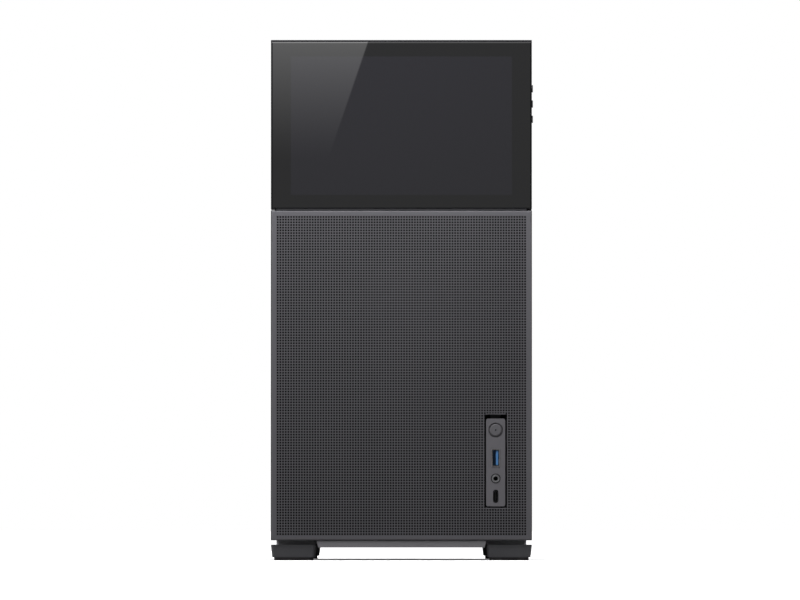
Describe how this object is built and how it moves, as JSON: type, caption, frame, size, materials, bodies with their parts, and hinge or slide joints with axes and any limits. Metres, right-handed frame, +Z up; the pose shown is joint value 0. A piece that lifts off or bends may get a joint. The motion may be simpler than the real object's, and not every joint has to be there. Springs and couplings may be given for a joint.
{
  "type": "atx computer case",
  "caption": "Compact tower computer case with a built-in screen above a perforated steel front, a socket strip, lift-off panels and a sliding dust filter.",
  "frame": {"origin": "on the floor under the middle of the case", "axes": "+Z up, -Y towards the front with the screen, +X towards the side with the socket strip"},
  "size_m": [0.2059, 0.44, 0.4088],
  "materials": {
    "graphite_steel": "fine powder coat, dark grey",
    "black_steel": "fine powder coat, black",
    "tinted_glass": "dark tinted tempered glass",
    "black_glass": "polished, printed black behind",
    "display": "screen that is off",
    "black_plastic": "finely textured",
    "grey_plastic": "finely textured",
    "strip_grey": "smooth satin",
    "pad_rubber": "matt",
    "filter_cloth": "fine nylon cloth",
    "bright_steel": "nickel plated",
    "screw_steel": "black zinc",
    "brass": "turned",
    "blue_plastic": "moulded",
    "board": "printed circuit board",
    "light_pipe": "clear light pipe",
    "nylon": "natural nylon"
  },
  "bodies": {
    "chassis": {"audio_jack": "black_plastic", "base_pan": "black_steel", "display_panel": "display", "drive_tray": "black_steel", "filter_rails": "black_steel", "foot_front_left": "grey_plastic", "foot_front_right": "grey_plastic", "foot_pad_front_left": "pad_rubber", "foot_pad_front_right": "pad_rubber", "foot_pad_rear_left": "pad_rubber", "foot_pad_rear_right": "pad_rubber", "foot_rear_left": "grey_plastic", "foot_rear_right": "grey_plastic", "front_frame": "black_steel", "io_board": "board", "io_housing": "strip_grey", "motherboard_standoffs": "brass", "motherboard_tray": "black_steel", "panel_sockets": "nylon", "power_inlet": "black_plastic", "power_inlet_pins": "bright_steel", "power_switch": "black_plastic", "psu_bracket": "black_steel", "rear_panel": "graphite_steel", "screen_board": "board", "screen_board_ports": "bright_steel", "screen_button_board": "board", "screen_cover_glass": "black_glass", "screen_housing": "black_plastic", "slot_cover_1": "black_steel", "slot_cover_2": "black_steel", "slot_cover_3": "black_steel", "slot_cover_4": "black_steel", "slot_cover_5": "black_steel", "slot_cover_6": "black_steel", "slot_cover_7": "black_steel", "slot_thumbscrews": "screw_steel", "ssd_bracket_lower": "black_steel", "ssd_bracket_upper": "black_steel", "top_frame": "black_steel", "usb_a_shell": "bright_steel", "usb_a_tongue": "blue_plastic", "usb_c_shell": "bright_steel", "usb_c_tongue": "black_plastic"},
    "power_button": {"power_button": "strip_grey", "power_light": "light_pipe"},
    "screen_button_1": {"screen_button_1": "grey_plastic"},
    "screen_button_2": {"screen_button_2": "grey_plastic"},
    "screen_button_3": {"screen_button_3": "grey_plastic"},
    "left_panel": {"glass_side_panel": "tinted_glass", "glass_panel_frame": "black_steel"},
    "right_panel": {"right_side_panel": "graphite_steel"},
    "top_panel": {"top_cover": "graphite_steel"},
    "front_panel": {"front_mesh_panel": "graphite_steel", "front_dust_filter": "filter_cloth"},
    "bottom_filter": {"filter_frame": "black_plastic", "filter_mesh": "filter_cloth"}
  },
  "joints": [
    {"name": "power_button_push", "type": "slide", "parent": "chassis", "child": "power_button", "axis": [0, 1, 0], "range_m": [0, 0.0012], "stiffness_N_per_m": 1200},
    {"name": "screen_button_1_push", "type": "slide", "parent": "chassis", "child": "screen_button_1", "axis": [-1, 0, 0], "range_m": [0, 0.0006], "stiffness_N_per_m": 1500},
    {"name": "screen_button_2_push", "type": "slide", "parent": "chassis", "child": "screen_button_2", "axis": [-1, 0, 0], "range_m": [0, 0.0006], "stiffness_N_per_m": 1500},
    {"name": "screen_button_3_push", "type": "slide", "parent": "chassis", "child": "screen_button_3", "axis": [-1, 0, 0], "range_m": [0, 0.0006], "stiffness_N_per_m": 1500},
    {"name": "left_panel_pull", "type": "slide", "parent": "chassis", "child": "left_panel", "axis": [-1, 0, 0], "range_m": [0, 0.06]},
    {"name": "right_panel_pull", "type": "slide", "parent": "chassis", "child": "right_panel", "axis": [1, 0, 0], "range_m": [0, 0.06]},
    {"name": "top_panel_lift", "type": "slide", "parent": "chassis", "child": "top_panel", "axis": [0, 0, 1], "range_m": [0, 0.05]},
    {"name": "front_panel_pull", "type": "slide", "parent": "chassis", "child": "front_panel", "axis": [0, -1, 0], "range_m": [0, 0.06]},
    {"name": "bottom_filter_slide", "type": "slide", "parent": "chassis", "child": "bottom_filter", "axis": [0, -1, 0], "range_m": [0, 0.42]}
  ]
}
